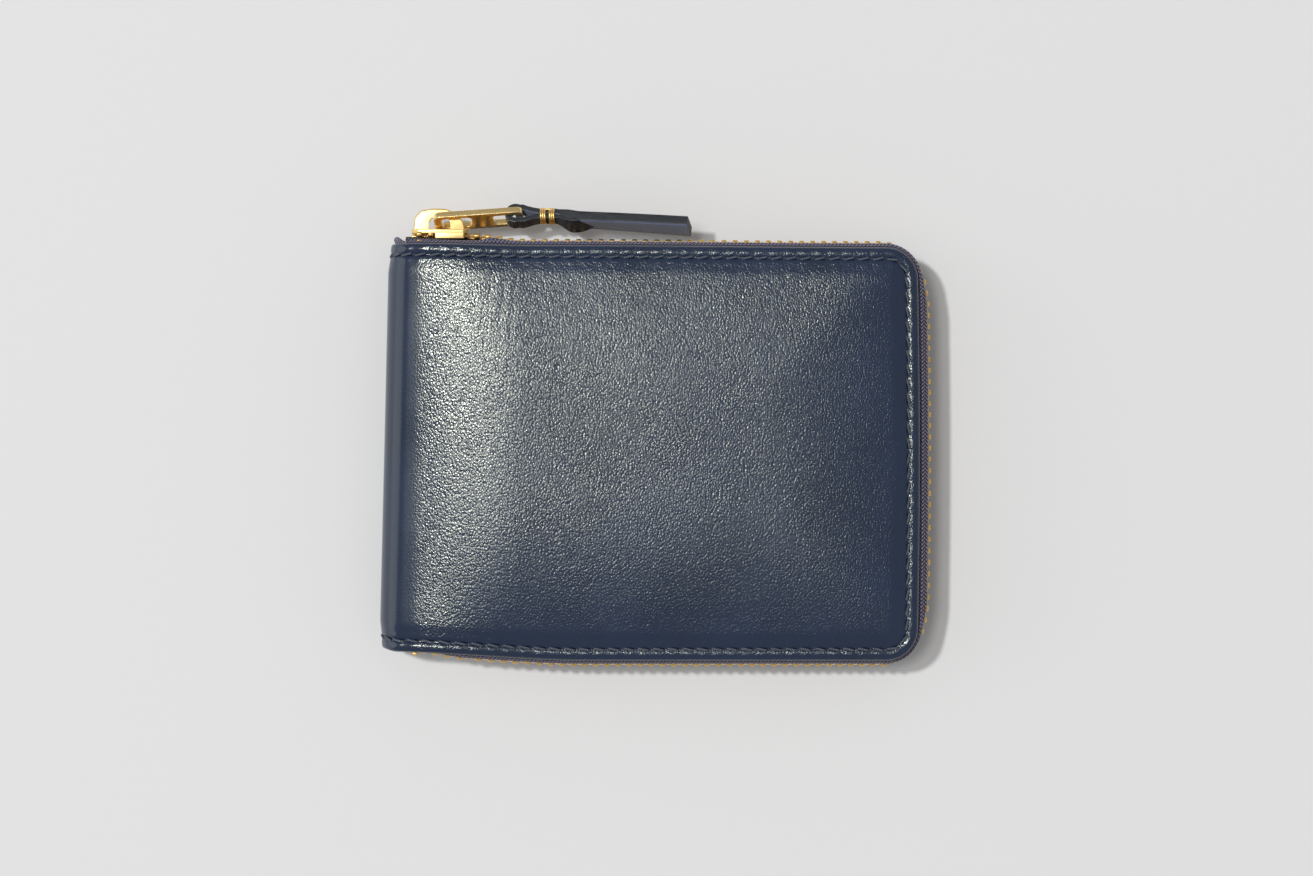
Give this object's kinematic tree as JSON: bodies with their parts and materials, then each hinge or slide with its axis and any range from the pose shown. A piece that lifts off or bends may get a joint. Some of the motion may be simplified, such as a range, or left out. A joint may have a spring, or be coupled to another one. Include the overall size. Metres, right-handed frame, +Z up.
{
  "type": "zip around wallet",
  "caption": "Leather wallet that opens like a book round its spine, closed on three sides by a metal zip, with card pockets and a zipped coin pocket.",
  "frame": {"origin": "centre of the back cover's flat outer face, which the closed wallet lies on", "axes": "+X from the spine to the fore edge, +Y along the spine towards the edge where the zip slider sits when closed, +Z up through the thickness from the back cover to the front cover"},
  "size_m": [0.1145, 0.0983, 0.02],
  "materials": {
    "leather": "smooth grained calf leather, navy, semi-gloss",
    "lining_leather": "thin smooth lining leather, navy",
    "pocket_leather": "smooth leather with painted edges, navy",
    "strap_leather": "smooth leather, grey suede on its flesh side",
    "foam": "thin felted padding",
    "zip_tape": "woven herringbone tape",
    "thread": "waxed twisted thread",
    "zip_brass": "polished teeth",
    "slider_brass": "brushed and polished brass",
    "brass_wire": "bright wound wire"
  },
  "bodies": {
    "back": {"back_cover": "leather", "back_padding": "foam", "back_lining": "lining_leather", "back_tape": "zip_tape", "back_teeth": "zip_brass", "back_teeth_top": "zip_brass", "back_stitching": "thread", "bill_panel": "lining_leather", "card_pocket_1": "pocket_leather", "card_pocket_2": "pocket_leather", "card_pocket_3": "pocket_leather"},
    "spine": {"spine_cover": "leather", "spine_lining": "lining_leather", "spine_stitching": "thread", "zip_tail_top": "zip_tape", "zip_tail_bottom": "zip_tape", "tail_teeth_top": "zip_brass", "tail_teeth_bottom": "zip_brass", "top_stops": "zip_brass", "bottom_stop": "zip_brass"},
    "front": {"front_cover": "leather", "front_padding": "foam", "front_lining": "lining_leather", "front_tape": "zip_tape", "front_teeth": "zip_brass", "front_teeth_top": "zip_brass", "front_stitching": "thread", "coin_gusset": "lining_leather", "coin_panel_upper": "pocket_leather", "coin_panel_lower": "pocket_leather", "coin_tape_upper": "zip_tape", "coin_tape_lower": "zip_tape", "coin_teeth_upper": "zip_brass", "coin_teeth_lower": "zip_brass", "coin_stops": "zip_brass"},
    "slider": {"slider_body": "slider_brass", "slider_crown": "slider_brass"},
    "puller": {"puller_plate": "slider_brass"},
    "strap": {"pull_strap": "strap_leather", "binding_rings": "brass_wire"},
    "coin_slider": {"coin_slider_body": "slider_brass", "coin_slider_crown": "slider_brass"},
    "coin_puller": {"coin_puller": "slider_brass"}
  },
  "joints": [
    {"name": "back_fold", "type": "hinge", "parent": "back", "child": "spine", "pos_m": [-0.05385, 0, 0.00215], "axis": [0, -1, 0], "range_deg": [0, 90]},
    {"name": "front_fold", "type": "hinge", "parent": "spine", "child": "front", "pos_m": [-0.05385, 0, 0.01785], "axis": [0, -1, 0], "range_deg": [0, 90]},
    {"name": "zip_slide", "type": "slide", "parent": "spine", "child": "slider", "axis": [-1, 0, 0], "range_m": [-0.085, 0], "deforming": ["front_teeth_top", "back_teeth_top", "tail_teeth_top"]},
    {"name": "puller_swing", "type": "hinge", "parent": "slider", "child": "puller", "pos_m": [-0.0461, 0.0488, 0.01], "axis": [0, 0, -1], "range_deg": [-170, 0]},
    {"name": "strap_swing", "type": "hinge", "parent": "puller", "child": "strap", "pos_m": [-0.02864, 0.05002, 0.01], "axis": [-0.0295, 0.4216, 0.9063], "range_deg": [0, 30]},
    {"name": "coin_zip_slide", "type": "slide", "parent": "front", "child": "coin_slider", "axis": [-1, 0, 0], "range_m": [-0.066, 0], "deforming": ["coin_teeth_upper", "coin_teeth_lower"]},
    {"name": "coin_puller_swing", "type": "hinge", "parent": "coin_slider", "child": "coin_puller", "pos_m": [-0.0322, 0.016, 0.0126], "axis": [0, 0, 1], "range_deg": [-25, 25]}
  ],
  "couplings": [
    {"joint": "front_fold", "follows": "back_fold", "ratio": 1}
  ]
}
